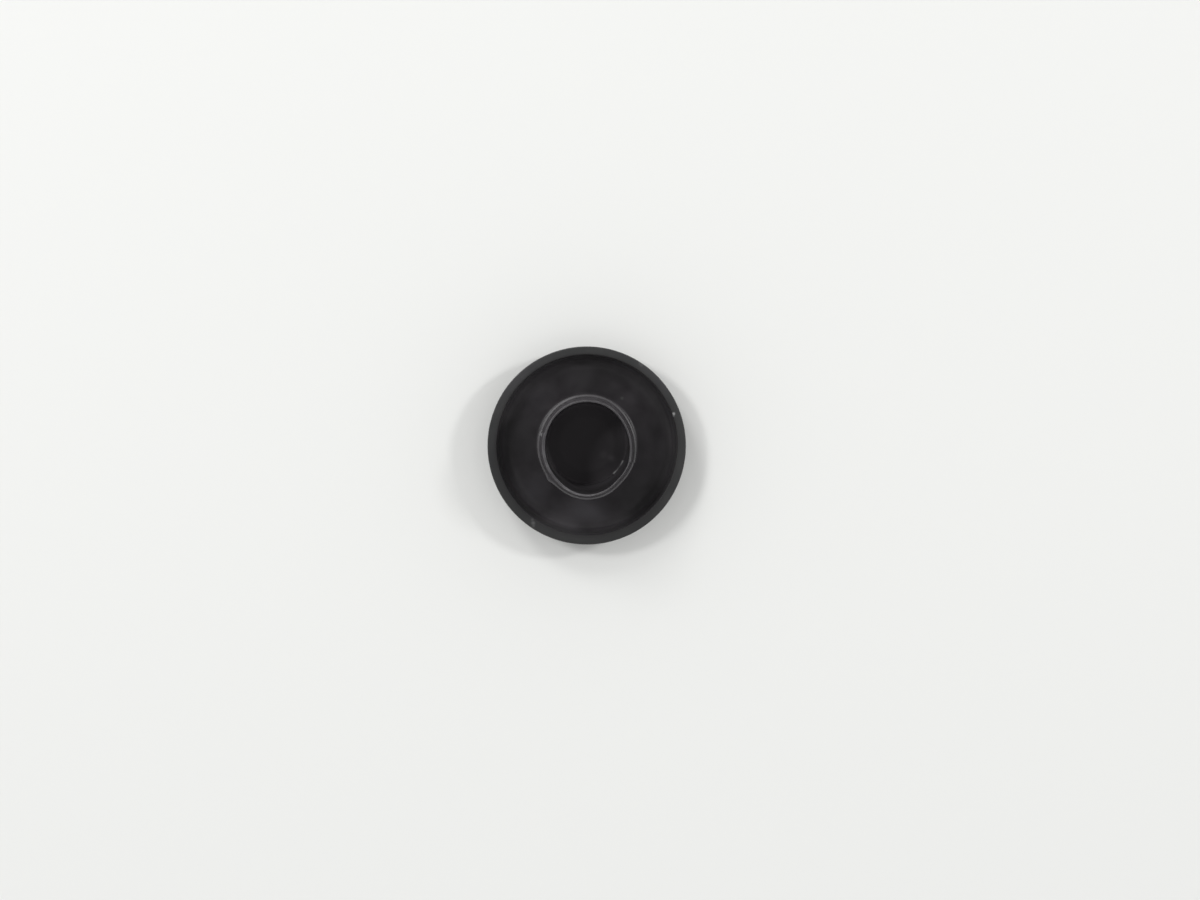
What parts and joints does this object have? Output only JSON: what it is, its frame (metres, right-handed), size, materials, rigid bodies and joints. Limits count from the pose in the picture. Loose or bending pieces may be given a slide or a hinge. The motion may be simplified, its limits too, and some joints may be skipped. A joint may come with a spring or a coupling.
{
  "type": "hole plug",
  "caption": "Black plastic hole plug with a cup-shaped round head and a short hollow tube whose snap bead holds it in a panel hole.",
  "frame": {"origin": "centre of the flat face of the head, which is the lowest plane of the part", "axes": "+Z along the plug's axis, from the face to the open mouth of the tube; the mould's parting plane is Y = 0, the two halves that form the tube are mismatched along X, and the core is shifted 0.12 mm towards 79 degrees from +X"},
  "size_m": [0.0274, 0.0274, 0.0086],
  "materials": {
    "black_plastic": "satin black moulded soft plastic, with a fine matt bloom on the rim and the edges of the tube"
  },
  "bodies": {
    "root": {"hole_plug": "black_plastic"}
  },
  "joints": []
}
